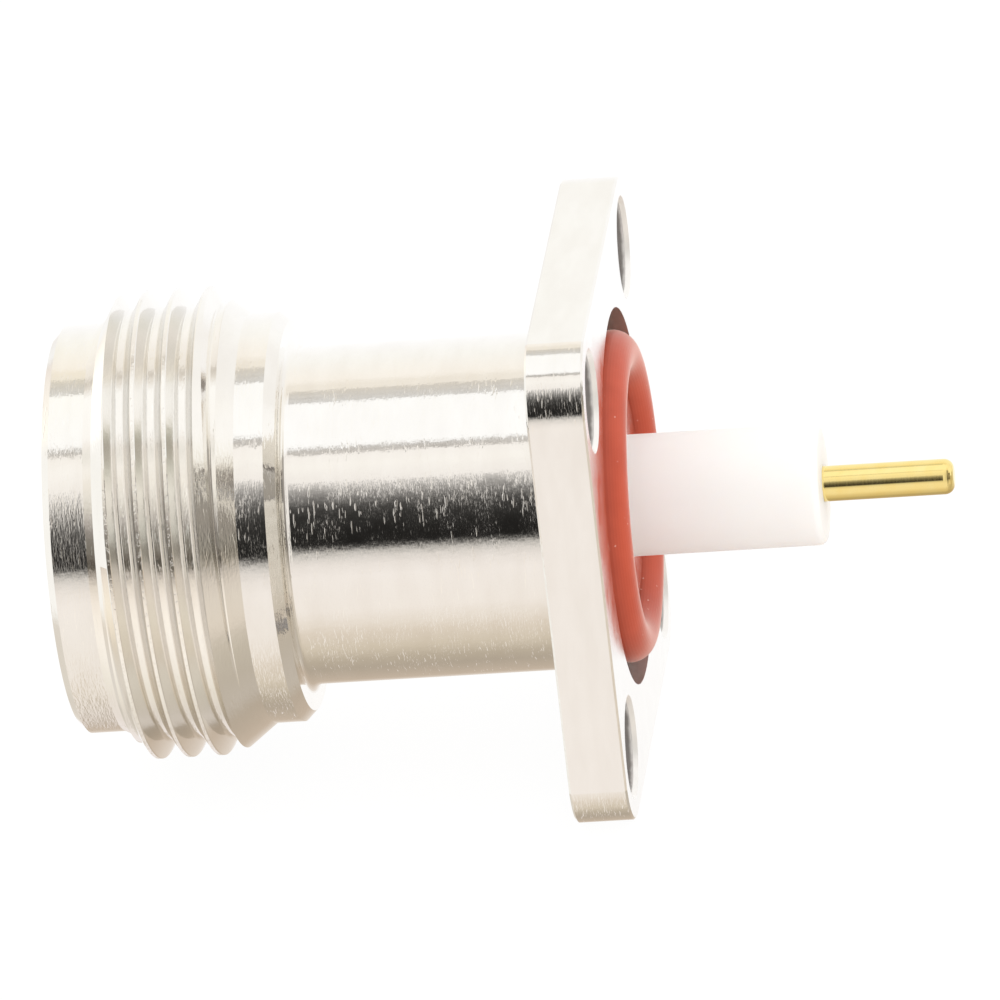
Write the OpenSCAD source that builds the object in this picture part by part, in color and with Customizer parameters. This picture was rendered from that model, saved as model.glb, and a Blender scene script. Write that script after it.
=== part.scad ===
// N type panel jack with a square four-hole flange, an extended dielectric and a solder pin.
// Its axis lies along X. The origin is the centre of the flange's rear face, which seats on the
// panel: +X points out of the solder pin, and the mating end is at -X. All sizes in millimetres.

/* [Flange] */
// Side of the square flange
flange_side = 17.5; // [16.5:0.1:19]
// Thickness of the flange
flange_t = 1.95; // [1.8:0.05:3]
// Radius of its four corners
flange_corner_r = 2.5; // [2:0.1:3]
// Distance between the centres of two neighbouring fixing holes
hole_spacing = 12.7; // [12.4:0.1:13.2]
// Diameter of a fixing hole
hole_d = 3.2; // [2.5:0.1:3.4]
// Edge break at both ends of a fixing hole
hole_break = 0.15; // [0.05:0.05:0.3]

/* [Seal] */
// Thickness of the round sealing ring
seal_section_d = 1.6; // [1.4:0.1:2]
// Inner diameter of the sealing ring
seal_inner_d = 8; // [7.6:0.1:8.4]
// Inner and outer diameters of the groove it sits in
seal_groove_inner_d = 7.5; // [6.9:0.1:7.5]
seal_groove_outer_d = 12.7; // [12.5:0.05:13]
// Depth of the groove
seal_groove_depth = 1; // [0.8:0.05:1.3]

/* [Barrel] */
// Length from the mating face to the rear face of the flange
barrel_length = 18.85; // [18:0.05:21]
// Diameter of the lip ahead of the thread
lip_d = 13.8; // [13:0.1:14.2]
// Length of the lip, up to the start of its flare
lip_length = 1.42; // [1:0.02:1.5]
// Chamfer on the outer edge of the mating face
lip_chamfer = 0.25; // [0.1:0.05:0.4]
// Diameter of the collar behind the thread
collar_d = 13.85; // [13:0.05:14.4]
// Distance from the rear face of the flange to the rear face of the collar
collar_rear = 11; // [10:0.1:12]
// Chamfer on the rear edge of the collar
collar_chamfer = 0.35; // [0.1:0.05:0.5]
// Diameter of the neck between the collar and the flange
neck_d = 11.4; // [10.8:0.1:12]
// Radius of the fillet where the neck meets the collar's rear face
neck_fillet_r = 0.3; // [0.1:0.05:0.5]

/* [Thread] */
// Major diameter of the 5/8 inch coupling thread
thread_d = 15.8; // [15.6:0.05:15.9]
// Turns of thread in one inch
turns_per_inch = 24; // [24:1:24]
// Distance from the mating face to the first full crest
thread_first_crest = 2.33; // [2.2:0.01:2.5]
// Number of crests
crest_count = 4; // [3:1:4]
// Angle of the rear runout cone, measured from the axis
thread_runout_angle = 37.5; // [35:0.5:45]

/* [Mating socket] */
// Diameter of the bore that the plug's outer contact slides into
socket_d = 8.1; // [8.03:0.01:8.13]
// Depth from the mating face to the reference plane, the front of the sleeve
reference_depth = 9.1; // [9.04:0.01:9.19]
// Chamfer at the mouth of the bore
mouth_chamfer = 0.4; // [0.2:0.05:0.6]
// Inner diameter of the retaining sleeve
sleeve_bore_d = 7; // [6.9:0.05:7.1]
// Length of the retaining sleeve
sleeve_length = 3.15; // [2:0.05:4]

/* [Dielectric] */
// Diameter of the dielectric where it runs through the flange
flange_bore_d = 4.5; // [4.5:0.1:5]
// Thickness of the front insulator
front_insulator_t = 2; // [1.5:0.1:2.5]
// Length of the wide part of the rear insulator
rear_insulator_t = 2.2; // [1.8:0.1:2.4]
// Diameter of the spigot that stands out of the flange
spigot_d = 4.1; // [4:0.05:4.3]
// Height of the spigot above the rear face of the flange
spigot_height = 6.65; // [4:0.05:12]
// Radius on the end edge of the spigot
spigot_edge_r = 0.25; // [0.1:0.05:0.5]

/* [Centre contact] */
// Outer diameter of the socket end
contact_d = 3.04; // [3:0.01:3.1]
// Distance from the mating face to the tip of the socket
contact_recess = 5; // [4.75:0.05:5.25]
// Bore that takes the plug's pin
contact_bore_d = 1.7; // [1.65:0.01:1.72]
// Depth of that bore
contact_bore_depth = 4.4; // [4:0.1:5]
// Number of spring fingers, one slot between each two
finger_count = 4; // [4:2:6]
// Width of a slot between two fingers
finger_slot_w = 0.25; // [0.15:0.05:0.3]
// Length of a slot
finger_slot_length = 3.8; // [3:0.1:4.2]
// Diameter of the shoulder held between the insulators
shoulder_d = 3.6; // [3.4:0.1:4.2]
// Thickness of the shoulder
shoulder_t = 0.6; // [0.4:0.05:0.8]
// Diameter of the stem inside the rear insulator, which ends flush with the spigot
stem_d = 1.7; // [1.6:0.05:2]
// Diameter of the solder pin
pin_d = 1.2; // [1.1:0.05:1.3]
// Length of the solder pin beyond the spigot
pin_free_length = 4.4; // [2:0.1:8]
// Depth and length of the taper at the tip of the pin
pin_taper_depth = 0.2; // [0.05:0.05:0.4]
pin_taper_length = 0.4; // [0.1:0.1:0.8]

/* [Hidden] */

// Sides of a full turn, and a small overrun that keeps cuts clear of the faces they leave
$fn = 128;
overrun = 0.5;

mating_face_x = -barrel_length;
reference_x = mating_face_x + reference_depth;
sleeve_rear_x = reference_x + sleeve_length;
front_insulator_rear_x = sleeve_rear_x + front_insulator_t;
socket_floor_x = front_insulator_rear_x + rear_insulator_t;
contact_tip_x = mating_face_x + contact_recess;
shoulder_rear_x = front_insulator_rear_x + shoulder_t;
pin_tip_x = spigot_height + pin_free_length;

// 60 degree thread: crest flat of an eighth of the pitch, root flat of a quarter
pitch = 25.4 / turns_per_inch;
crest_flat = pitch / 8;
root_flat = pitch / 4;
thread_depth = (pitch - crest_flat - root_flat) / 2 / tan(30);
root_d = thread_d - 2 * thread_depth;
first_crest_x = mating_face_x + thread_first_crest;
lip_end_x = mating_face_x + lip_length;

// The lip flares out a little before the steep cone that starts the thread
flare_rise = 0.15;
flare_length = 0.3;
entry_cone_angle = 60;
flare_end_r = lip_d / 2 + flare_rise;
flare_end_x = lip_end_x + flare_length;
entry_cone_end_x = flare_end_x + (thread_d / 2 - flare_end_r) / tan(entry_cone_angle);

// The runout cone starts a quarter of a pitch ahead of the last crest
runout_start_x = first_crest_x + (crest_count - 1.25) * pitch;
runout_end_x = runout_start_x + (thread_d - collar_d) / 2 / tan(thread_runout_angle);

seal_ring_r = (seal_inner_d + seal_section_d) / 2;
seal_x = seal_section_d / 2 - seal_groove_depth;

// Turns a closed outline of [radius, x] points about the X axis
module turned(outline) {
    rotate([0, 90, 0]) rotate_extrude() polygon(outline);
}

// A plain cylinder along X from x0 to x1
module rod(d, x0, x1) {
    translate([x0, 0, 0]) rotate([0, 90, 0]) cylinder(d = d, h = x1 - x0);
}

// Barrel outline from the mating face to the front of the flange, before the thread is cut
module barrel_blank() {
    neck_fillet = [
        for (a = [0 : 15 : 90])
            [neck_d / 2 + neck_fillet_r * (1 - sin(a)), neck_fillet_r * (1 - cos(a)) - collar_rear]
    ];
    turned(
        concat(
            [
                [0, mating_face_x],
                [lip_d / 2 - lip_chamfer, mating_face_x],
                [lip_d / 2, mating_face_x + lip_chamfer],
                [lip_d / 2, lip_end_x],
                [flare_end_r, flare_end_x],
                [thread_d / 2, entry_cone_end_x],
                [thread_d / 2, runout_start_x],
                [collar_d / 2, runout_end_x],
                [collar_d / 2, -collar_rear - collar_chamfer],
                [collar_d / 2 - collar_chamfer, -collar_rear]
            ],
            neck_fillet,
            [[neck_d / 2, -flange_t / 2], [0, -flange_t / 2]]
        )
    );
}

// One groove of the thread, centred between two crests
module thread_groove(x) {
    outer_r = thread_d / 2 + overrun;
    half_root = root_flat / 2;
    half_mouth = half_root + (outer_r - root_d / 2) * tan(30);
    turned([
        [root_d / 2, x - half_root],
        [outer_r, x - half_mouth],
        [outer_r, x + half_mouth],
        [root_d / 2, x + half_root]
    ]);
}

// Square plate with rounded corners
module flange_plate() {
    corner_at = flange_side / 2 - flange_corner_r;
    translate([-flange_t / 2, 0, 0]) {
        cube([flange_t, flange_side, 2 * corner_at], center = true);
        cube([flange_t, 2 * corner_at, flange_side], center = true);
    }
    for (y = [-1, 1], z = [-1, 1])
        translate([0, y * corner_at, z * corner_at]) rod(2 * flange_corner_r, -flange_t, 0);
}

// A fixing hole with both edges broken
module fixing_hole() {
    mouth_r = hole_d / 2 + hole_break;
    rod(hole_d, -flange_t - overrun, overrun);
    turned([
        [0, -hole_break],
        [hole_d / 2, -hole_break],
        [mouth_r, 0],
        [mouth_r, overrun],
        [0, overrun]
    ]);
    turned([
        [0, -flange_t - overrun],
        [mouth_r, -flange_t - overrun],
        [mouth_r, -flange_t],
        [hole_d / 2, -flange_t + hole_break],
        [0, -flange_t + hole_break]
    ]);
}

// Stepped bore: the mating socket, then the dielectric's hole through the flange
module stepped_bore() {
    turned([
        [0, mating_face_x - overrun],
        [socket_d / 2 + mouth_chamfer, mating_face_x - overrun],
        [socket_d / 2 + mouth_chamfer, mating_face_x],
        [socket_d / 2, mating_face_x + mouth_chamfer],
        [socket_d / 2, socket_floor_x],
        [flange_bore_d / 2, socket_floor_x],
        [flange_bore_d / 2, overrun],
        [0, overrun]
    ]);
}

module seal_groove() {
    turned([
        [seal_groove_inner_d / 2, -seal_groove_depth],
        [seal_groove_outer_d / 2, -seal_groove_depth],
        [seal_groove_outer_d / 2, overrun],
        [seal_groove_inner_d / 2, overrun]
    ]);
}

// One turned and milled brass piece, nickel plated
module body() {
    color("gainsboro")
    difference() {
        union() {
            barrel_blank();
            flange_plate();
        }
        for (k = [0 : crest_count - 2]) thread_groove(first_crest_x + (k + 0.5) * pitch);
        stepped_bore();
        seal_groove();
        for (y = [-1, 1], z = [-1, 1])
            translate([0, y * hole_spacing / 2, z * hole_spacing / 2]) fixing_hole();
    }
}

// Pressed into the bore: its front face is the reference plane of the mating pair
module retaining_sleeve() {
    color("silver")
    difference() {
        rod(socket_d, reference_x, sleeve_rear_x);
        rod(sleeve_bore_d, reference_x - overrun, sleeve_rear_x + overrun);
    }
}

// Washer-shaped bead between the sleeve and the contact's shoulder
module front_insulator() {
    color("white")
    difference() {
        rod(socket_d, sleeve_rear_x, front_insulator_rear_x);
        rod(contact_d, sleeve_rear_x - overrun, front_insulator_rear_x + overrun);
    }
}

// Stepped bead whose spigot stands out of the flange, with a seat for the contact's shoulder
module rear_insulator() {
    corner_r = spigot_d / 2 - spigot_edge_r;
    end_round = [
        for (a = [0 : 15 : 90])
            [corner_r + spigot_edge_r * cos(a), spigot_height - spigot_edge_r + spigot_edge_r * sin(a)]
    ];
    color("snow")
    difference() {
        turned(concat(
            [
                [0, front_insulator_rear_x],
                [socket_d / 2, front_insulator_rear_x],
                [socket_d / 2, socket_floor_x],
                [flange_bore_d / 2, socket_floor_x],
                [flange_bore_d / 2, 0],
                [spigot_d / 2, 0]
            ],
            end_round,
            [[0, spigot_height]]
        ));
        rod(shoulder_d, front_insulator_rear_x - overrun, shoulder_rear_x);
        rod(stem_d, front_insulator_rear_x, spigot_height + overrun);
    }
}

// Turned contact: slotted socket, shoulder and solder pin
module centre_contact() {
    finger_taper = 0.06;
    lead_in = 0.15;
    bore_r = contact_bore_d / 2;
    color("gold")
    difference() {
        turned([
            [0, contact_tip_x],
            [contact_d / 2 - 2 * finger_taper, contact_tip_x],
            [contact_d / 2 - finger_taper, contact_tip_x + finger_taper],
            [contact_d / 2, contact_tip_x + finger_slot_length],
            [contact_d / 2, front_insulator_rear_x],
            [shoulder_d / 2, front_insulator_rear_x],
            [shoulder_d / 2, shoulder_rear_x],
            [stem_d / 2, shoulder_rear_x],
            [stem_d / 2, spigot_height],
            [pin_d / 2, spigot_height],
            [pin_d / 2, pin_tip_x - pin_taper_length],
            [pin_d / 2 - pin_taper_depth, pin_tip_x],
            [0, pin_tip_x]
        ]);
        rod(contact_bore_d, contact_tip_x - overrun, contact_tip_x + contact_bore_depth);
        turned([
            [0, contact_tip_x - overrun],
            [bore_r + lead_in, contact_tip_x - overrun],
            [bore_r + lead_in, contact_tip_x],
            [bore_r, contact_tip_x + lead_in],
            [0, contact_tip_x + lead_in]
        ]);
        for (k = [0 : finger_count / 2 - 1])
            rotate([45 + k * 360 / finger_count, 0, 0])
                translate([contact_tip_x - overrun, -contact_d, -finger_slot_w / 2])
                    cube([finger_slot_length + overrun, 2 * contact_d, finger_slot_w]);
    }
}

// Round silicone ring: it rests on the groove's floor and stands proud of the flange
module flange_seal() {
    color("tomato")
    translate([seal_x, 0, 0]) rotate([0, 90, 0])
        rotate_extrude() translate([seal_ring_r, 0]) circle(d = seal_section_d, $fn = 48);
}

body();
retaining_sleeve();
front_insulator();
rear_insulator();
centre_contact();
flange_seal();
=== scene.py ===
import math
import bpy
import numpy as np
from mathutils import Matrix, Vector


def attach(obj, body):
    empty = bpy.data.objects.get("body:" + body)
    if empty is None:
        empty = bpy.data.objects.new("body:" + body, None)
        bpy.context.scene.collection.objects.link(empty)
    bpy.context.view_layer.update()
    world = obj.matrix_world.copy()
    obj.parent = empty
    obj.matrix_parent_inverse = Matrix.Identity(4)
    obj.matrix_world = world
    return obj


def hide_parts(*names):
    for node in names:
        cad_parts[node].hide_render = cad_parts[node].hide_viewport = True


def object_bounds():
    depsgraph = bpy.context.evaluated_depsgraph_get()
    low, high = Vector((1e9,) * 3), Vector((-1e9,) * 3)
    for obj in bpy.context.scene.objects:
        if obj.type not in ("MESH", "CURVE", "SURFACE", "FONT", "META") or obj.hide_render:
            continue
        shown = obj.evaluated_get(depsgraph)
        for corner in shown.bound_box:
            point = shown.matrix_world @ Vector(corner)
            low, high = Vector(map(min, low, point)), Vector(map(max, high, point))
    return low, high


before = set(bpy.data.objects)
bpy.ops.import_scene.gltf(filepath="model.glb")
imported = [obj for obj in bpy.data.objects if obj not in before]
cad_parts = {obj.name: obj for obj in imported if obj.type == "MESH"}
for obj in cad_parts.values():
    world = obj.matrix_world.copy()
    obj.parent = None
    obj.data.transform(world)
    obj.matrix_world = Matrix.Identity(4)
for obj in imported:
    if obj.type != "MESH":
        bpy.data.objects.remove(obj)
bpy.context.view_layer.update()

# Object geometry is written in millimetres, with x along the connector and r out from its axis.
MM = 0.001
BODY_STEPS = 288
FINE_STEPS = 160

# Coupling thread 5/8-24, right-handed: x of a crest where it crosses the -Y side
PITCH = 25.4 / 24
THREAD_R = 7.9
ROOT_R = 7.33
CREST_X = -16.52

# Entry cone and run-out cone of the thread: where each starts, and its slope
CONE_X, CONE_R, CONE_SLOPE = -17.13, 7.05, math.tan(math.radians(60))
RUNOUT_X, RUNOUT_SLOPE = -13.61, math.tan(math.radians(37.5))
LIP_R = 6.9
COLLAR_R = 6.925

BORE_R = 4.05
GROOVE_DEPTH, GROOVE_INNER, GROOVE_OUTER = 1, 3.75, 6.35

FLANGE_HALF = 8.75
FLANGE_T = 1.95
# The flange's corners are rounded into one side and meet the other in a faint edge
CORNER_R = 2.41
CORNER_EDGE = 12
CORNER_FROM = FLANGE_HALF - CORNER_R * math.cos(math.radians(CORNER_EDGE))
CORNER_INTO = FLANGE_HALF - CORNER_R
EDGE_BREAK = 0.07
HOLE_AT = 6.35
HOLE_R = 1.6


# ---------------------------------------------------------------- meshes

def new_object(name, verts, faces):
    mesh = bpy.data.meshes.new(name)
    mesh.from_pydata([Vector(v) * MM for v in verts], [], faces)
    mesh.validate()
    obj = bpy.data.objects.new(name, mesh)
    bpy.context.scene.collection.objects.link(obj)
    return obj


def arc(x, r, radius, start, end, steps=8):
    """Points (x, r) on an arc about a centre, angles in degrees from +x towards +r."""
    angles = [math.radians(start + (end - start) * k / steps) for k in range(steps + 1)]
    return [(x + radius * math.cos(a), r + radius * math.sin(a)) for a in angles]


def turned(outline, steps, centre=(0, 0)):
    """Vertices and faces of a closed (x, r) outline turned about an axis along X."""
    verts, rings = [], []
    for x, r in outline:
        count = 1 if r == 0 else steps
        rings.append(range(len(verts), len(verts) + count))
        for k in range(count):
            a = 2 * math.pi * k / steps
            verts.append((x, centre[0] + r * math.cos(a), centre[1] + r * math.sin(a)))
    faces = []
    for lower, upper in zip(rings, rings[1:] + rings[:1]):
        if len(lower) == 1 and len(upper) == 1:
            continue
        for k in range(steps):
            n = (k + 1) % steps
            corners = [lower[k % len(lower)], lower[n % len(lower)],
                       upper[n % len(upper)], upper[k % len(upper)]]
            faces.append(tuple(dict.fromkeys(corners)))
    return verts, faces


def helix_groove():
    """A solid that follows the thread's groove, to be cut out of the barrel. Its root leans a little."""
    slope = math.tan(math.radians(30))
    root, lean = PITCH / 8, 0.021

    def flank(r):
        return root + (r - ROOT_R) * slope

    profile = [
        (-flank(THREAD_R) - 0.02, THREAD_R + 0.4), (-flank(THREAD_R) - 0.02, THREAD_R + 0.01),
        (-flank(THREAD_R - 0.03), THREAD_R - 0.03), (-flank(ROOT_R + 0.03), ROOT_R + 0.03),
        (-root + 0.012, ROOT_R - 0.006), (-root + 0.04, ROOT_R - lean), (root - 0.015, ROOT_R + lean),
        (flank(ROOT_R + 0.045), ROOT_R + 0.045), (flank(THREAD_R - 0.03), THREAD_R - 0.03),
        (flank(THREAD_R) + 0.02, THREAD_R + 0.01), (flank(THREAD_R) + 0.02, THREAD_R + 0.4),
    ]
    first, last = -17.75, -11.85
    turns = (last - first) / PITCH
    count = int(turns * BODY_STEPS)
    # The groove's middle is half a pitch behind the crest; half a step of offset keeps edges from meeting
    start_angle = math.pi + 2 * math.pi * (first - CREST_X - PITCH / 2) / PITCH
    offset = math.pi / BODY_STEPS
    verts, faces, n = [], [], len(profile)
    for k in range(count + 1):
        a = start_angle + offset + 2 * math.pi * k / BODY_STEPS
        x0 = first + PITCH * (k / BODY_STEPS + offset / (2 * math.pi))
        verts += [(x0 + x, r * math.cos(a), r * math.sin(a)) for x, r in profile]
        if k:
            b = (k - 1) * n
            faces += [(b + i, b + (i + 1) % n, b + n + (i + 1) % n, b + n + i) for i in range(n)]
    faces += [tuple(range(n)), tuple(range(count * n, count * n + n))]
    return verts, faces


def corner_centre(quarter):
    """Centre (y, z) of a corner's rounding. Quarter 0 runs from the +Y side to the +Z side."""
    c, d = ((1, 0), (0, 1), (-1, 0), (0, -1))[quarter]
    return CORNER_FROM * c - CORNER_INTO * d, CORNER_FROM * d + CORNER_INTO * c


def around_flange():
    """A solid frame round the flange's rounded square, which also breaks the plate's two edges."""
    beyond, inset = 0.6, EDGE_BREAK + 0.05
    profile = [
        (-FLANGE_T - beyond, -inset), (-FLANGE_T - 0.05, -inset), (-FLANGE_T + EDGE_BREAK, 0),
        (-EDGE_BREAK, 0), (0.05, -inset), (beyond, -inset), (beyond, 6), (-FLANGE_T - beyond, 6),
    ]
    path = []
    for quarter in range(4):
        span = range(CORNER_EDGE, 91, 6)
        path += [(corner_centre(quarter), math.radians(90 * quarter + a)) for a in span]
    verts, faces, n = [], [], len(profile)
    for centre, a in path:
        c, d = math.cos(a), math.sin(a)
        verts += [(x, centre[0] + (CORNER_R + out) * c, centre[1] + (CORNER_R + out) * d) for x, out in profile]
    for k in range(len(path)):
        b, c = k * n, (k + 1) % len(path) * n
        faces += [(b + i, b + (i + 1) % n, c + (i + 1) % n, c + i) for i in range(n)]
    return verts, faces


def box_faces(low, high):
    verts = [(x, y, z) for x in (low[0], high[0]) for y in (low[1], high[1]) for z in (low[2], high[2])]
    return verts, [(0, 1, 3, 2), (4, 6, 7, 5), (0, 4, 5, 1), (2, 3, 7, 6), (0, 2, 6, 4), (1, 5, 7, 3)]


def joined(parts):
    verts, faces = [], []
    for v, f in parts:
        faces += [tuple(i + len(verts) for i in face) for face in f]
        verts += v
    return verts, faces


def recalculated(obj):
    """Outward face normals."""
    import bmesh
    bm = bmesh.new()
    bm.from_mesh(obj.data)
    bmesh.ops.recalc_face_normals(bm, faces=bm.faces)
    bm.to_mesh(obj.data)
    bm.free()
    return obj


def cut_away(obj, cutter):
    cut = obj.modifiers.new("cut", "BOOLEAN")
    cut.operation, cut.solver, cut.object = "DIFFERENCE", "EXACT", cutter
    cut.use_self = True
    made = bpy.data.meshes.new_from_object(obj.evaluated_get(bpy.context.evaluated_depsgraph_get()))
    obj.modifiers.clear()
    obj.data = made
    bpy.data.objects.remove(cutter)


def turned_normals(mesh, steps, keep=None, axis_of=None, lean=None):
    """Exact normals for turned and helical faces, so that flat facets never show in the plating."""
    n_poly, n_loop = len(mesh.polygons), len(mesh.loops)
    co = np.empty(len(mesh.vertices) * 3)
    mesh.vertices.foreach_get("co", co)
    co = co.reshape(-1, 3) / MM
    centre = np.empty(n_poly * 3)
    mesh.polygons.foreach_get("center", centre)
    centre = centre.reshape(-1, 3) / MM
    normal = np.empty(n_poly * 3)
    mesh.polygons.foreach_get("normal", normal)
    normal = normal.reshape(-1, 3)
    size = np.empty(n_poly, dtype=int)
    mesh.polygons.foreach_get("loop_total", size)
    vertex = np.empty(n_loop, dtype=int)
    mesh.loops.foreach_get("vertex_index", vertex)
    axis = np.zeros((n_poly, 2)) if axis_of is None else axis_of(centre, normal)
    angle = np.arctan2(centre[:, 2] - axis[:, 1], centre[:, 1] - axis[:, 0])
    step = 2 * math.pi / steps
    snapped = (np.floor(angle / step) + 0.5) * step
    side = -normal[:, 1] * np.sin(snapped) + normal[:, 2] * np.cos(snapped)
    angle = np.where((np.abs(side) < 2e-4) & (np.abs(axis).sum(1) == 0), snapped, angle)
    out = normal[:, 1] * np.cos(angle) + normal[:, 2] * np.sin(angle)
    side = -normal[:, 1] * np.sin(angle) + normal[:, 2] * np.cos(angle)
    side = np.where(np.abs(side) < 2e-4, 0, side)
    flat = np.abs(normal[:, 0]) > 0.9999
    if keep is not None:
        flat |= keep(centre, normal)
    if lean is not None:
        for leaning, angle_off in lean(centre, normal):
            normal[leaning, 0] = -math.sin(math.radians(angle_off))
            out[leaning] = math.cos(math.radians(angle_off))
            side[leaning] = 0
    poly = np.repeat(np.arange(n_poly), size)
    v = co[vertex]
    a = np.arctan2(v[:, 2] - axis[poly, 1], v[:, 1] - axis[poly, 0])
    turned_n = np.stack([
        normal[poly, 0],
        out[poly] * np.cos(a) - side[poly] * np.sin(a),
        out[poly] * np.sin(a) + side[poly] * np.cos(a),
    ], axis=1)
    result = np.where(flat[poly][:, None], normal[poly], turned_n)
    mesh.shade_smooth()
    mesh.normals_split_custom_set(result.tolist())


def make_body():
    face = -18.85
    outline = [
        (face, BORE_R + 0.4), (face, LIP_R - 0.25), (face + 0.25, LIP_R), (-17.43, LIP_R), (CONE_X, CONE_R),
        (CONE_X + (THREAD_R - CONE_R) / CONE_SLOPE, THREAD_R), (RUNOUT_X, THREAD_R),
        (RUNOUT_X + (THREAD_R - COLLAR_R) / RUNOUT_SLOPE, COLLAR_R), (-11.35, COLLAR_R), (-11, 6.575),
    ]
    outline += arc(-10.7, 6.0, 0.3, 180, 270)
    outline += [(-FLANGE_T, 5.7), (-FLANGE_T, 11.6), (0, 11.6)]
    outline += [
        (0, GROOVE_OUTER), (-GROOVE_DEPTH, GROOVE_OUTER), (-GROOVE_DEPTH, GROOVE_INNER), (0, GROOVE_INNER),
        (0, 2.25), (-2.4, 2.25), (-2.4, BORE_R), (face + 0.4, BORE_R),
    ]
    body = recalculated(new_object("body_turned", *turned(outline, BODY_STEPS)))

    over = 0.6
    hole = [
        (-FLANGE_T - over, 0), (-FLANGE_T - over, HOLE_R + 0.15), (-FLANGE_T, HOLE_R + 0.15),
        (-FLANGE_T + 0.15, HOLE_R), (-0.15, HOLE_R), (0, HOLE_R + 0.15), (over, HOLE_R + 0.15), (over, 0),
    ]
    holes = [turned(hole, 96, (y * HOLE_AT, z * HOLE_AT)) for y in (-1, 1) for z in (-1, 1)]
    cut_away(body, recalculated(new_object("cutter", *joined([helix_groove(), around_flange()] + holes))))

    def axis_of(centre, normal):
        """Holes and rounded corners are turned about their own axes, and the rest about the connector's."""
        quadrant = np.sign(centre[:, 1:])
        on_plate = centre[:, 0] > -FLANGE_T - 0.01
        in_hole = on_plate & (np.linalg.norm(centre[:, 1:] - quadrant * HOLE_AT, axis=1) < HOLE_R + 0.2)
        quarter = np.array([[2, 1], [3, 0]])[(quadrant[:, 0] > 0) * 1, (quadrant[:, 1] > 0) * 1]
        corner = np.array([corner_centre(q) for q in range(4)])[quarter]
        from_corner = centre[:, 1:] - corner
        in_corner = on_plate & (np.linalg.norm(from_corner, axis=1) > CORNER_R - 0.3)
        in_corner &= (from_corner * quadrant).min(axis=1) > 0
        return np.where(in_corner[:, None], corner, quadrant * (in_hole * HOLE_AT)[:, None])

    def milled(centre, normal):
        side = np.abs(centre[:, 1:])
        return (side.max(axis=1) > FLANGE_HALF - 0.15) & (side.min(axis=1) < 1)

    def softened(centre, normal):
        """Groups of faces that are shaded as if they leaned this many degrees towards the mating end."""
        x, lean_x = centre[:, 0], normal[:, 0]
        across = np.linalg.norm(centre[:, 1:], axis=1)
        crest = (across > THREAD_R - 0.02) & (x < -13) & (np.abs(lean_x) < 0.3)
        flare = (x > -17.44) & (x < -17.12) & (np.abs(lean_x + 0.447) < 0.05)
        cone = (x < -16.63) & (across > CONE_R) & (across < THREAD_R) & (np.abs(lean_x + 0.866) < 0.02)
        cone &= np.abs(across - CONE_R - (x - CONE_X) * CONE_SLOPE) < 0.02
        runout = (x > -13.62) & (x < -12.3) & (across > 6.9) & (np.abs(lean_x - 0.609) < 0.02)
        level = np.abs(lean_x) < 0.01
        lip = (x < -17.4) & (np.abs(across - LIP_R) < 0.01) & level
        collar = (x > -12.4) & (x < -11.3) & (np.abs(across - COLLAR_R) < 0.01) & level
        corner = (x > -FLANGE_T) & level & (np.linalg.norm(axis_of(centre, normal), axis=1) > 8)
        corner &= across > HOLE_AT * 1.414 + HOLE_R
        return (crest, 9), (flare, 8), (cone, 34), (runout, -41.3), (lip, 2.2), (collar, 0.8), (corner, 1.6)

    turned_normals(body.data, BODY_STEPS, milled, axis_of, softened)
    return body


def make_turned(name, outline, steps=FINE_STEPS):
    obj = recalculated(new_object(name, *turned(outline, steps)))
    turned_normals(obj.data, steps)
    return obj


def make_contact():
    """Socket with four slotted fingers, shoulder, stem and the solder pin with its rounded tip."""
    outline = [
        (-9.45, 0), (-9.45, 0.85), (-13.7, 0.85), (-13.85, 1.0), (-13.85, 1.4), (-13.79, 1.46), (-10.05, 1.52),
        (-4.6, 1.52), (-4.6, 1.8), (-4.0, 1.8), (-4.0, 0.85), (6.2, 0.85), (6.2, 0.6), (10.6, 0.6),
    ]
    outline += arc(10.72, 0.27, 0.33, 90, 0, 8) + [(11.05, 0)]
    contact = recalculated(new_object("contact_turned", *turned(outline, 128)))
    slots = []
    for angle in (45, 135):
        verts, faces = box_faces((-14.4, -0.125, -3), (-10.05, 0.125, 3))
        c, d = math.cos(math.radians(angle)), math.sin(math.radians(angle))
        slots.append(([(x, y * c - z * d, y * d + z * c) for x, y, z in verts], faces))
    cut_away(contact, recalculated(new_object("cutter", *joined(slots))))

    def slot_walls(centre, normal):
        along = np.abs((centre[:, 1:] * normal[:, 1:]).sum(axis=1)) / np.linalg.norm(centre[:, 1:], axis=1)
        return (along < 0.5) & (np.abs(normal[:, 0]) < 0.5)

    def pin(centre, normal):
        across = np.linalg.norm(centre[:, 1:], axis=1)
        return ((centre[:, 0] > 6.3) & (across > 0.59) & (np.abs(normal[:, 0]) < 0.01), -2),

    turned_normals(contact.data, 128, slot_walls, lean=pin)
    return contact


def give_faces(obj, index, chosen):
    """Put the chosen faces, picked by their centre in millimetres and normal, in a material slot."""
    for poly in obj.data.polygons:
        if chosen(poly.center / MM, poly.normal):
            poly.material_index = index


def from_axis(p):
    return math.hypot(p.y, p.z)


def in_thread(p):
    return -16.6 < p.x < -11.5 and from_axis(p) > ROOT_R


def from_hole(p):
    return math.dist((abs(p.y), abs(p.z)), (HOLE_AT, HOLE_AT))


def on_side(p):
    """The middle of one of the flange's four flat sides."""
    far, near = max(abs(p.y), abs(p.z)), min(abs(p.y), abs(p.z))
    return p.x > -FLANGE_T and far > FLANGE_HALF - 0.1 and near < 1


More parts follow.
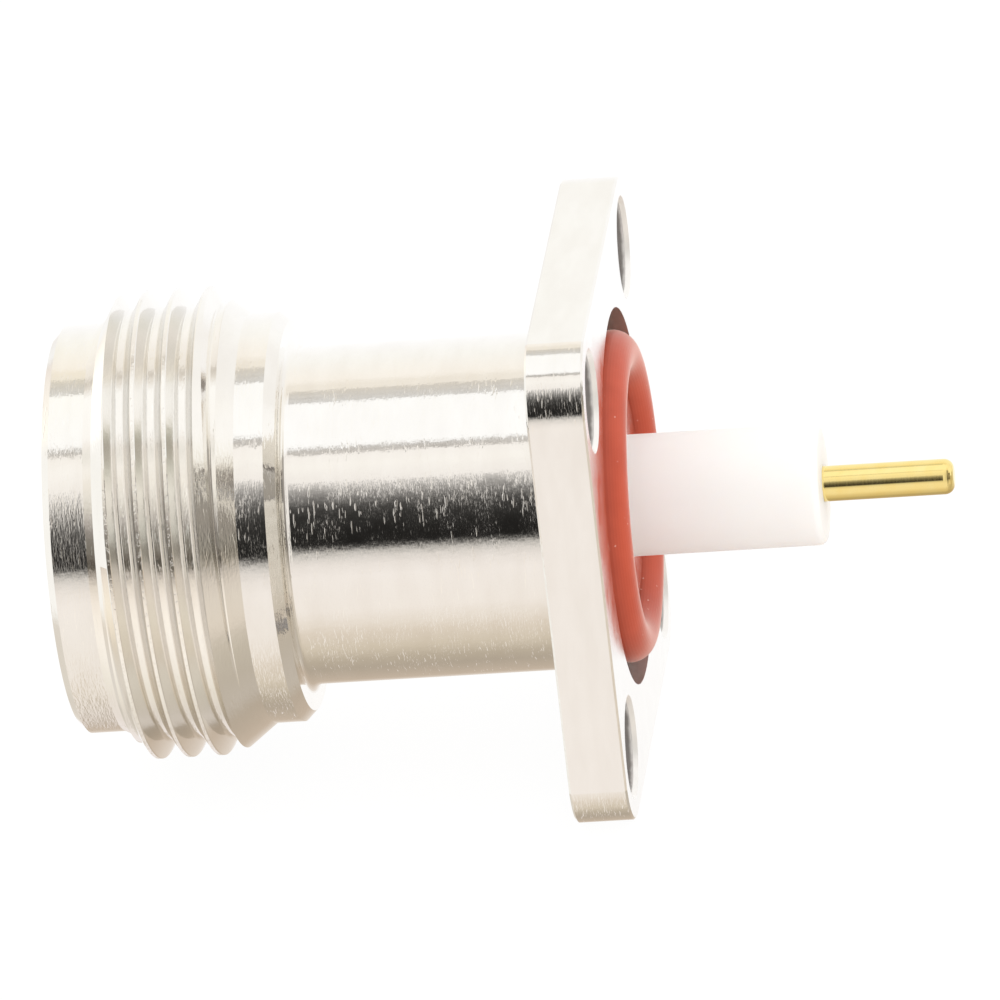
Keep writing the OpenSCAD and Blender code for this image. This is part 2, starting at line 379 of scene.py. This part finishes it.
body = make_body()
give_faces(body, 1, lambda p, n: p.x > -0.01 and n.x > 0.99)
give_faces(body, 2, lambda p, n: -1.01 < p.x < -0.01 and 3.7 < from_axis(p) < 6.4)
give_faces(body, 3, lambda p, n: in_thread(p) and n.x > 0.75)
give_faces(body, 4, lambda p, n: in_thread(p) and n.x < -0.75)
give_faces(body, 5, lambda p, n: p.x > -FLANGE_T and from_hole(p) < HOLE_R + 0.1 and abs(n.x) < 0.9)
give_faces(body, 6, lambda p, n: -17 < p.x < -12 and from_axis(p) > THREAD_R - 0.02 and abs(n.x) < 0.3)
give_faces(body, 7, lambda p, n: on_side(p) and abs(n.x) < 0.01)
give_faces(body, 8, lambda p, n: abs(p.x + FLANGE_T) < 0.01 and n.x < -0.99)
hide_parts("body")

sleeve = make_turned("sleeve_turned", [
    (-9.75, 3.58), (-9.67, 3.5), (-6.6, 3.5), (-6.6, 4.05), (-9.67, 4.05), (-9.75, 3.97),
])
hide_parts("retaining_sleeve")

bead = make_turned("bead_turned", [(-6.6, 1.55), (-6.6, 4.05), (-4.6, 4.05), (-4.6, 1.52), (-6.55, 1.52)])
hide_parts("front_insulator")

spigot_outline = [(-4.6, 1.8), (-4.6, 4.05), (-2.4, 4.05), (-2.4, 2.25), (0, 2.25), (0, 2.05)]
spigot_outline += arc(6.4, 1.8, 0.25, 90, 0, 10)
spigot_outline += [(6.65, 0.62), (6.6, 0.6), (6.2, 0.6), (6.2, 0.85), (-4.0, 0.85), (-4.0, 1.8)]
spigot = make_turned("spigot_turned", spigot_outline, 224)
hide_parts("rear_insulator")

contact = make_contact()
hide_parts("centre_contact")

seal = make_turned("seal_ring", arc(-0.2, 4.8, 0.8, 0, 352.5, 47), 256)
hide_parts("flange_seal")

for piece in (body, sleeve, bead, spigot, contact, seal):
    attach(piece, "root")


# ---------------------------------------------------------------- materials

class Tree:
    """Short calls for shader nodes: inputs are given by name or index, as a value or another node's output."""

    def __init__(self, tree):
        self.tree = tree

    def add(self, kind, inputs=(), **settings):
        n = self.tree.nodes.new("ShaderNode" + kind)
        for key, value in settings.items():
            setattr(n, key, value)
        for key, value in dict(inputs).items():
            if isinstance(value, bpy.types.NodeSocket):
                self.tree.links.new(value, n.inputs[key])
            else:
                n.inputs[key].default_value = value
        return n

    def math(self, operation, *values):
        return self.add("Math", dict(enumerate(values)), operation=operation).outputs[0]

    def ramp(self, value, stops, interpolation="LINEAR"):
        n = self.add("ValToRGB", {0: value})
        n.color_ramp.interpolation = interpolation
        elements = n.color_ramp.elements
        while len(elements) < len(stops):
            elements.new(0.5)
        for element, (at, colour) in zip(elements, stops):
            element.position = at
            element.color = (*colour, 1) if isinstance(colour, tuple) else (colour, colour, colour, 1)
        return n.outputs[0]

    def stretched(self, scale):
        """Object coordinates in millimetres, scaled by axis."""
        coords = self.add("TexCoord").outputs["Object"]
        return self.add("VectorMath", {0: coords, 1: [s / MM for s in scale]}, operation="MULTIPLY").outputs[0]

    def noise(self, scale, detail=2.0, roughness=0.5):
        return self.add("TexNoise", {"Vector": self.stretched(scale), "Scale": 1.0, "Detail": detail,
                                     "Roughness": roughness}).outputs[0]

    def mix(self, factor, a, b):
        n = self.add("Mix", {0: factor}, data_type="RGBA")
        for key, value in ((6, a), (7, b)):
            if isinstance(value, bpy.types.NodeSocket):
                self.tree.links.new(value, n.inputs[key])
            else:
                n.inputs[key].default_value = (*value, 1)
        return n.outputs[2]


def new_material(name):
    material = bpy.data.materials.new(name)
    material.use_nodes = True
    t = Tree(material.node_tree)
    return material, t, material.node_tree.nodes["Principled BSDF"]


def link(t, output, shader, name):
    t.tree.links.new(output, shader.inputs[name])


def nickel(name, colours, roughness, hair_depth, scratched=0.0, chipped=0.0):
    """Bright plating with fine turning marks round the axis, scratches and chips, in two mixed tones."""
    material, t, shader = new_material(name)
    hair = t.math("SUBTRACT", t.noise((15, 3.0, 3.0), 2.0, 0.6), 0.5)
    wear = t.ramp(t.noise((0.9, 0.9, 0.9), 2.0), [(0.35, 0.5), (0.65, 1.5)])
    ripple = t.noise((3, 6, 6), 2.0)
    crowd = t.ramp(t.noise((0.5, 0.5, 0.5), 1.0), [(0.40, 0.3), (0.60, 1.6)])
    scratch = t.ramp(t.noise((12, 2.2, 2.2), 1.0), [(0.63, 0.0), (0.75, 1.0)])
    chip = t.ramp(t.noise((9, 7, 7), 1.5), [(0.56, 0.0), (0.62, 1.0)])
    height = t.math("ADD", t.math("MULTIPLY", hair, wear), t.math("MULTIPLY", ripple, 0.5))
    height = t.math("SUBTRACT", height, t.math("MULTIPLY", t.math("MULTIPLY", scratch, crowd), scratched))
    height = t.math("SUBTRACT", height, t.math("MULTIPLY", chip, chipped))
    bump = t.add("Bump", {"Height": height, "Distance": hair_depth, "Strength": 1.0})
    link(t, bump.outputs[0], shader, "Normal")
    patch = t.noise((1.5, 0.5, 0.5), 3.0)
    tone = t.ramp(patch, [(0.35, colours[0]), (0.65, colours[1])])
    link(t, tone, shader, "Base Color")
    link(t, t.ramp(wear, [(0.5, roughness[0]), (1.0, roughness[1])]), shader, "Roughness")
    shader.inputs["Metallic"].default_value = 1.0
    return material


def bored():
    """Hole walls: a pale satin edge, and painted shade further in, darker with depth."""
    material, t, shader = new_material("bored_nickel")
    depth = t.add("SeparateXYZ", {0: t.stretched((-1, 1, 1))}).outputs[0]
    painted_shade_depth = t.math("ADD", depth, t.math("MULTIPLY", t.noise((2, 3, 3)), 0.12))
    # Painted shade: the wall's colour darkens with depth into the hole
    tone = t.ramp(painted_shade_depth, [(0.24, (0.95, 0.94, 0.92)), (0.33, (0.34, 0.32, 0.31))])
    link(t, tone, shader, "Base Color")
    link(t, t.ramp(t.noise((4, 4, 4)), [(0.4, 0.28), (0.6, 0.36)]), shader, "Roughness")
    shader.inputs["Metallic"].default_value = 0.45
    return material


def ptfe():
    material, t, shader = new_material("ptfe")
    grain = t.noise((14, 3, 3), 3.0)
    bump = t.add("Bump", {"Height": grain, "Distance": 1e-6, "Strength": 0.5})
    link(t, bump.outputs[0], shader, "Normal")
    tone = t.ramp(t.noise((0.6, 0.6, 0.6)), [(0.35, (0.975, 0.965, 0.955)), (0.65, (0.985, 0.978, 0.97))])
    link(t, tone, shader, "Base Color")
    link(t, t.ramp(grain, [(0.4, 0.42), (0.6, 0.5)]), shader, "Roughness")
    shader.inputs["Subsurface Weight"].default_value = 0.3
    shader.inputs["Subsurface Radius"].default_value = (1.0, 0.9, 0.8)
    shader.inputs["Subsurface Scale"].default_value = 0.0006
    return material


def gold():
    material, t, shader = new_material("gold")
    hair = t.noise((18, 2, 2), 2.0)
    bump = t.add("Bump", {"Height": hair, "Distance": 3e-7, "Strength": 1.0})
    link(t, bump.outputs[0], shader, "Normal")
    tone = t.ramp(t.noise((2, 2, 2)), [(0.3, (1.0, 0.80, 0.31)), (0.7, (1.0, 0.84, 0.37))])
    link(t, tone, shader, "Base Color")
    link(t, t.ramp(hair, [(0.4, 0.05), (0.7, 0.09)]), shader, "Roughness")
    shader.inputs["Metallic"].default_value = 1.0
    return material


def silicone():
    """Smooth moulded ring with a dusty grazing sheen and a few pale specks."""
    material, t, shader = new_material("silicone")
    grain = t.noise((9, 9, 9), 3.0, 0.6)
    bump = t.add("Bump", {"Height": grain, "Distance": 2e-6, "Strength": 0.5})
    link(t, bump.outputs[0], shader, "Normal")
    tone = t.ramp(t.noise((0.7, 0.7, 0.7), 2.0), [(0.35, (0.52, 0.068, 0.027)), (0.65, (0.58, 0.081, 0.034))])
    speck = t.ramp(t.noise((5, 5, 5), 1.0), [(0.765, 0.0), (0.785, 0.7)])
    link(t, t.mix(speck, tone, (0.80, 0.50, 0.42)), shader, "Base Color")
    link(t, t.ramp(grain, [(0.3, 0.42), (0.7, 0.5)]), shader, "Roughness")
    shader.inputs["Sheen Weight"].default_value = 0.9
    shader.inputs["Sheen Roughness"].default_value = 0.28
    shader.inputs["Sheen Tint"].default_value = (1.0, 0.82, 0.76, 1)
    return material


plated = [(0.925, 0.905, 0.87), (0.955, 0.94, 0.91)]
bright = nickel("nickel", plated, (0.04, 0.07), 3.6e-6, scratched=0.6)
smooth = nickel("milled_nickel", plated, (0.06, 0.10), 8e-7)
crest = nickel("crest_nickel", plated, (0.05, 0.09), 3.4e-6, chipped=1.5)
lapped = nickel("lapped_nickel", [(0.955, 0.945, 0.93), (0.965, 0.955, 0.94)], (0.12, 0.17), 1.5e-6)
# The flange's face towards the thread: a darker copy of the plating, painted shade
front = nickel("shaded_front_nickel", [(0.68, 0.64, 0.58), (0.73, 0.69, 0.63)], (0.22, 0.30), 2e-6)
# The seal groove: a darker copy of the plating, painted shade of the recess, with a rougher finish
groove_shade = nickel("dull_groove_painted_shade", [(0.66, 0.63, 0.61), (0.78, 0.76, 0.74)], (0.35, 0.45), 3e-6)
flank = nickel("flank_nickel", plated, (0.08, 0.12), 2e-6)
# Thread flanks facing the mating end: a darker copy of the plating, painted shade
shaded = nickel("shaded_nickel", [(0.74, 0.73, 0.70), (0.78, 0.76, 0.73)], (0.10, 0.14), 2e-6)
hole_wall = bored()
white_plastic = ptfe()
dressing = {
    body: (bright, lapped, groove_shade, flank, shaded, hole_wall, crest, smooth, front),
    sleeve: (bright,), bead: (white_plastic,), spigot: (white_plastic,),
    contact: (gold(),), seal: (silicone(),),
}
for obj, materials in dressing.items():
    for material in materials:
        obj.data.materials.append(material)


# ---------------------------------------------------------------- stage, light and camera

def srgb(*colour, over=(0.94, 0.925, 0.89)):
    """Linear light that a plated face of colour `over` shows as this screen colour."""
    linear = [c / 255 / 12.92 if c < 10 else ((c / 255 + 0.055) / 1.055) ** 2.4 for c in colour]
    return tuple(min(v / o, 1.06) for v, o in zip(linear, over))


# Studio light by its angle round the connector's axis: 0 is level on the camera's side, 90 is straight up.
# Each list is one sector of directions: FAR_LEFT is towards the mating end and END_ON towards the pin end.
# Its tones were set to those measured on the plating in the photo, at points round the turned faces.
AHEAD = [
    (-180, srgb(252, 250, 246)), (-156, srgb(255, 254, 251)), (-150, srgb(224, 212, 198)),
    (-136, srgb(194, 177, 157)), (-108, srgb(176, 163, 145)), (-96, srgb(184, 171, 151)),
    (-82, srgb(207, 194, 173)), (-66, srgb(219, 206, 188)), (-58, srgb(229, 218, 203)),
    (-45, srgb(239, 230, 219)), (-20, srgb(241, 233, 224)), (-10, srgb(232, 224, 215)),
    (0, srgb(232, 226, 216)), (45, srgb(240, 234, 226)), (57, srgb(249, 244, 235)),
    (65.5, srgb(246, 240, 232)), (67, srgb(246, 240, 232)), (71, srgb(255, 254, 252)),
    (105, srgb(255, 254, 252)), (117, srgb(238, 230, 216)), (123, srgb(238, 230, 216)),
    (128, srgb(248, 241, 229)), (152, srgb(249, 246, 238)), (180, srgb(252, 250, 246)),
]
# The same, a little nearer the mating end, where the light below is fuller
BESIDE = [
    (-180, srgb(252, 250, 246)), (-156, srgb(255, 254, 251)), (-148, srgb(246, 241, 238)),
    (-140, srgb(236, 227, 220)), (-110, srgb(232, 222, 211)), (-80, srgb(236, 227, 215)),
    (-52, srgb(239, 231, 220)), (-20, srgb(240, 232, 222)), (-10, srgb(231, 223, 213)),
    (0, srgb(232, 226, 216)), (45, srgb(243, 237, 228)), (57, srgb(249, 244, 235)),
    (65.5, srgb(246, 240, 230)), (67, srgb(246, 240, 230)), (71, srgb(255, 254, 247)),
    (105, srgb(255, 252, 243)), (117, srgb(238, 229, 210)), (123, srgb(240, 230, 210)),
    (128, srgb(248, 240, 225)), (152, srgb(249, 245, 233)), (180, srgb(252, 250, 246)),
]
NEAR_LEFT = [
    (-180, (1, 1, 1)), (-150, (0.80, 0.74, 0.66)), (-118, (0.62, 0.57, 0.50)), (-104, (0.73, 0.67, 0.60)),
    (-88, (0.83, 0.77, 0.68)), (-72, (0.90, 0.85, 0.76)), (-58, (0.97, 0.91, 0.83)),
    (-45, (1.02, 0.96, 0.88)), (-30, (1.02, 0.95, 0.86)), (-19, (0.95, 0.87, 0.78)),
    (-10, (0.80, 0.73, 0.64)), (-4, (0.48, 0.43, 0.38)), (0, (0.18, 0.16, 0.13)), (2.5, (0.08, 0.07, 0.055)),
    (5.5, (0.14, 0.12, 0.10)), (9, (0.20, 0.18, 0.15)), (15, (0.21, 0.19, 0.16)), (22, (0.31, 0.28, 0.25)),
    (28, (0.48, 0.44, 0.40)), (35, (0.69, 0.65, 0.58)), (41, (0.82, 0.78, 0.71)), (48, (0.90, 0.85, 0.77)),
    (57, (0.98, 0.94, 0.88)), (66, (0.88, 0.85, 0.79)), (72, (0.96, 0.92, 0.87)), (77, (1.05, 1.03, 1.0)),
    (104, (1.06, 1.05, 1.02)), (111, (0.84, 0.79, 0.72)), (116, (0.64, 0.59, 0.52)),
    (120, (0.92, 0.87, 0.80)), (150, (1.04, 1.01, 0.97)), (180, (1, 1, 1)),
]
FAR_LEFT = [
    (-180, (0.75, 0.70, 0.62)), (-130, (0.75, 0.70, 0.62)), (-94, (0.75, 0.70, 0.64)),
    (-67, (0.79, 0.72, 0.62)), (-57, (0.94, 0.85, 0.72)), (-36, (1.05, 0.98, 0.86)),
    (-17.5, (0.96, 0.88, 0.79)), (-10, (0.83, 0.76, 0.69)), (-2.4, (0.58, 0.54, 0.49)),
    (2, (0.35, 0.33, 0.28)), (6, (0.28, 0.25, 0.21)), (13, (0.62, 0.61, 0.56)), (21, (0.85, 0.84, 0.78)),
    (29, (0.94, 0.91, 0.85)), (45, (1.15, 1.12, 1.05)), (53, (1.02, 0.99, 0.91)), (60, (0.81, 0.80, 0.72)),
    (68, (0.61, 0.58, 0.51)), (77, (0.53, 0.49, 0.43)), (83, (0.59, 0.58, 0.49)), (88, (1.05, 1.02, 0.94)),
    (94, (1.32, 1.32, 1.32)), (114, (1.32, 1.32, 1.32)), (119, (1.25, 1.21, 1.12)), (126, (1.31, 1.25, 1.16)),
    (142, (1.32, 1.31, 1.21)), (180, (0.88, 0.81, 0.75)),
]
# Edges of two dark objects ahead, seen as thin bands
EDGES = [
    (-180, 0.0), (65.6, 0.0), (66.2, 0.80), (69.6, 0.74), (70.6, 0.0), (106.0, 0.0), (106.6, 0.56),
    (116.6, 0.44), (117.4, 0.0), (180, 0.0),
]
RIGHT = [
    (-180, (0.95, 0.92, 0.88)), (-138, (0.76, 0.71, 0.63)), (-120, (0.60, 0.54, 0.46)),
    (-107, (0.55, 0.49, 0.42)), (-93, (0.53, 0.47, 0.39)), (-80, (0.57, 0.51, 0.42)),
    (-66, (0.68, 0.61, 0.52)), (-40, (0.70, 0.63, 0.54)), (-12, (0.40, 0.36, 0.31)), (0, (0.18, 0.16, 0.14)),
    (12, (0.22, 0.20, 0.18)), (56, (0.38, 0.35, 0.32)), (72, (0.38, 0.35, 0.32)), (80, (0.88, 0.83, 0.74)),
    (101, (1.04, 1.02, 0.98)), (114, (1.04, 1.02, 0.98)), (134, (0.97, 0.95, 0.92)),
    (180, (0.98, 0.96, 0.94)),
]
FAR_RIGHT = [
    (-180, (0.60, 0.54, 0.46)), (-94, (0.58, 0.50, 0.41)), (-66, (0.78, 0.70, 0.60)),
    (-49, (0.76, 0.69, 0.60)), (-38, (0.70, 0.63, 0.55)), (-28, (0.53, 0.48, 0.42)),
    (-19, (0.33, 0.30, 0.25)), (-11, (0.16, 0.14, 0.11)), (0, (0.15, 0.14, 0.115)),
    (10, (0.17, 0.155, 0.135)), (20, (0.215, 0.195, 0.17)), (31, (0.28, 0.255, 0.22)),
    (42, (0.30, 0.28, 0.25)), (51, (0.23, 0.215, 0.19)), (71, (0.205, 0.19, 0.17)), (75, (0.80, 0.75, 0.67)),
    (87, (0.95, 0.92, 0.85)), (101, (1.04, 1.02, 0.99)), (180, (1, 1, 1)),
]
END_ON = [
    (-180, (0.60, 0.54, 0.46)), (-90, (0.58, 0.50, 0.40)), (-45, (0.66, 0.57, 0.46)),
    (-16, (0.37, 0.34, 0.29)), (24, (0.32, 0.29, 0.25)), (60, (0.34, 0.31, 0.27)), (95, (0.38, 0.35, 0.31)),
    (103, (0.92, 0.89, 0.84)), (120, (1.03, 1.02, 1.0)), (180, (1, 1, 1)),
]


def make_world():
    world = bpy.data.worlds.new("studio")
    bpy.context.scene.world = world
    world.use_nodes = True
    t = Tree(world.node_tree)
    ray = t.add("TexCoord").outputs["Generated"]
    parts = t.add("SeparateXYZ", {0: ray})
    x, y, z = parts.outputs
    turn = t.math("DEGREES", t.math("ARCTAN2", z, t.math("MULTIPLY", y, -1.0)))

    def sector(stops):
        place = t.math("DIVIDE", t.math("ADD", turn, 180.0), 360.0)
        return t.ramp(place, [((angle + 180) / 360, colour) for angle, colour in stops])

    def step(value, start, end):
        n = t.add("MapRange", {0: value, 1: start, 2: end, 3: 0.0, 4: 1.0}, interpolation_type="SMOOTHSTEP")
        return n.outputs[0]

    seen = t.mix(step(x, -0.92, -0.86), (1, 0.99, 0.96), sector(FAR_LEFT))
    seen = t.mix(step(x, -0.60, -0.50), seen, sector(NEAR_LEFT))
    broken = t.ramp(t.add("TexNoise", {"Vector": ray, "Scale": 70.0}).outputs[0],
                    [(0.40, 0.35), (0.56, 1.0)])
    beside = t.math("ABSOLUTE", t.math("ADD", x, 0.15))
    edges = t.math("MULTIPLY", t.math("MULTIPLY", sector(EDGES), broken), step(beside, 0.13, 0.09))
    seen = t.mix(step(x, -0.33, -0.26), seen, sector(BESIDE))
    seen = t.mix(step(x, -0.19, -0.16), seen, sector(AHEAD))
    seen = t.mix(edges, seen, (0.19, 0.165, 0.135))
    seen = t.mix(step(x, 0.42, 0.58), seen, sector(RIGHT))
    seen = t.mix(step(x, 0.80, 0.86), seen, sector(FAR_RIGHT))
    seen = t.mix(step(x, 0.945, 0.965), seen, sector(END_ON))

    # The dark room behind the camera, a dome that narrows upwards
    across = t.math("POWER", t.math("DIVIDE", t.math("ADD", x, 0.135), 0.17), 2.0)
    up = t.math("POWER", t.math("DIVIDE", t.math("ADD", turn, 3.0), 49.0), 2.0)
    dome = t.math("SUBTRACT", 1.0, t.math("ADD", across, up))
    depth = t.ramp(dome, [
        (0.0, 0.0), (0.044, 0.30), (0.22, 0.60), (0.40, 0.80), (0.56, 0.93), (0.70, 0.97), (0.9, 0.99),
    ])
    rise = t.ramp(t.math("DIVIDE", t.math("ADD", turn, 12.0), 20.0), [
        (0.0, 0.0), (0.2, 0.08), (0.3, 0.16), (0.4, 0.28), (0.5, 0.46), (0.6, 0.76), (0.7, 0.97), (0.8, 1.0),
    ])
    seen = t.mix(t.math("MULTIPLY", depth, rise), seen, (0.006, 0.0055, 0.005))

    # Only reflections see the room's bands: soft light is even but for its height, and the background is white
    rays = t.add("LightPath")
    overhead = t.ramp(z, [(0.0, (1.09, 1.08, 1.06)), (1.0, (1.38, 1.37, 1.34))])
    lit = t.mix(rays.outputs["Is Glossy Ray"], overhead, seen)
    colour = t.mix(rays.outputs["Is Camera Ray"], lit, (1, 1, 1))
    t.tree.links.new(colour, world.node_tree.nodes["Background"].inputs[0])


def make_floor():
    half = 0.6
    mesh = bpy.data.meshes.new("floor")
    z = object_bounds()[0][2]
    corners = [(-half, -half, z), (half, -half, z), (half, half, z), (-half, half, z)]
    mesh.from_pydata(corners, [], [(0, 1, 2, 3)])
    floor = bpy.data.objects.new("floor", mesh)
    bpy.context.scene.collection.objects.link(floor)
    floor.visible_glossy = False
    material = bpy.data.materials.new("table")
    material.use_nodes = True
    t = Tree(material.node_tree)
    material.node_tree.nodes.remove(material.node_tree.nodes["Principled BSDF"])
    matt = t.add("BsdfDiffuse", {"Color": (0.50, 0.48, 0.46, 1)}).outputs[0]
    even = t.add("Emission", {"Color": (1, 0.95, 0.92, 1), "Strength": 0.44}).outputs[0]
    plain = t.add("AddShader", {0: matt, 1: even}).outputs[0]
    glow = t.add("Emission", {"Color": (1, 1, 1, 1), "Strength": 0.945}).outputs[0]
    veil = t.add("BsdfDiffuse", {"Color": (0.08, 0.08, 0.08, 1)}).outputs[0]
    bright = t.add("AddShader", {0: glow, 1: veil}).outputs[0]
    camera_ray = t.add("LightPath").outputs["Is Camera Ray"]
    both = t.add("MixShader", {0: camera_ray, 1: plain, 2: bright}).outputs[0]
    t.tree.links.new(both, material.node_tree.nodes["Material Output"].inputs[0])
    mesh.materials.append(material)


def make_camera():
    data = bpy.data.cameras.new("camera")
    camera = bpy.data.objects.new("camera", data)
    bpy.context.scene.collection.objects.link(camera)
    bpy.context.scene.camera = camera
    place = Vector((65.465, -506.574, 227.129)) * MM
    target = Vector((-4.2545, -0.4111, 0.3093)) * MM
    forward = (target - place).normalized()
    right = forward.cross(Vector((0.05999566, 0.41483036, 0.90791866))).normalized()
    up = right.cross(forward)
    camera.matrix_world = Matrix.Translation(place) @ Matrix((right, up, -forward)).transposed().to_4x4()
    data.lens = 599.04
    data.sensor_width = 36
    data.clip_start = 0.01


make_world()
make_floor()
make_camera()
bpy.context.scene.view_settings.view_transform = "Standard"
